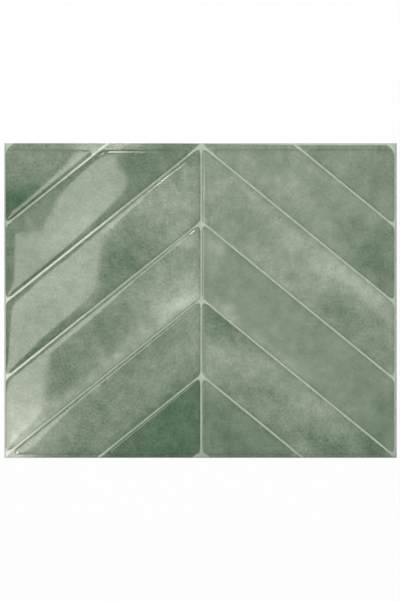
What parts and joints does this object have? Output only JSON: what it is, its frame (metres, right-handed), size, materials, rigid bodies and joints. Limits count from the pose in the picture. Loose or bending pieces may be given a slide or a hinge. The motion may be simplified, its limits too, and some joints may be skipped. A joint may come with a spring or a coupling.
{
  "type": "self-adhesive backsplash tile",
  "caption": "Thin peel-and-stick backsplash sheet: a printed film with pale grout lines and raised glossy gel tiles in a grey-green chevron, and a sticky back.",
  "frame": {"origin": "middle of the sheet's sticky back", "axes": "+X along the sheet's long side, +Y up the pattern towards the overlap strip, +Z out of the face"},
  "size_m": [0.285, 0.2284, 0.0019],
  "materials": {
    "printed_film": "satin",
    "gel": "gloss"
  },
  "bodies": {
    "root": {"printed_film": "printed_film", "gel_tile_left_1": "gel", "gel_tile_left_2": "gel", "gel_tile_left_3": "gel", "gel_tile_left_4": "gel", "gel_tile_left_5": "gel", "gel_tile_left_6": "gel", "gel_tile_right_1": "gel", "gel_tile_right_2": "gel", "gel_tile_right_3": "gel", "gel_tile_right_4": "gel", "gel_tile_right_5": "gel", "gel_tile_right_6": "gel"}
  },
  "joints": []
}
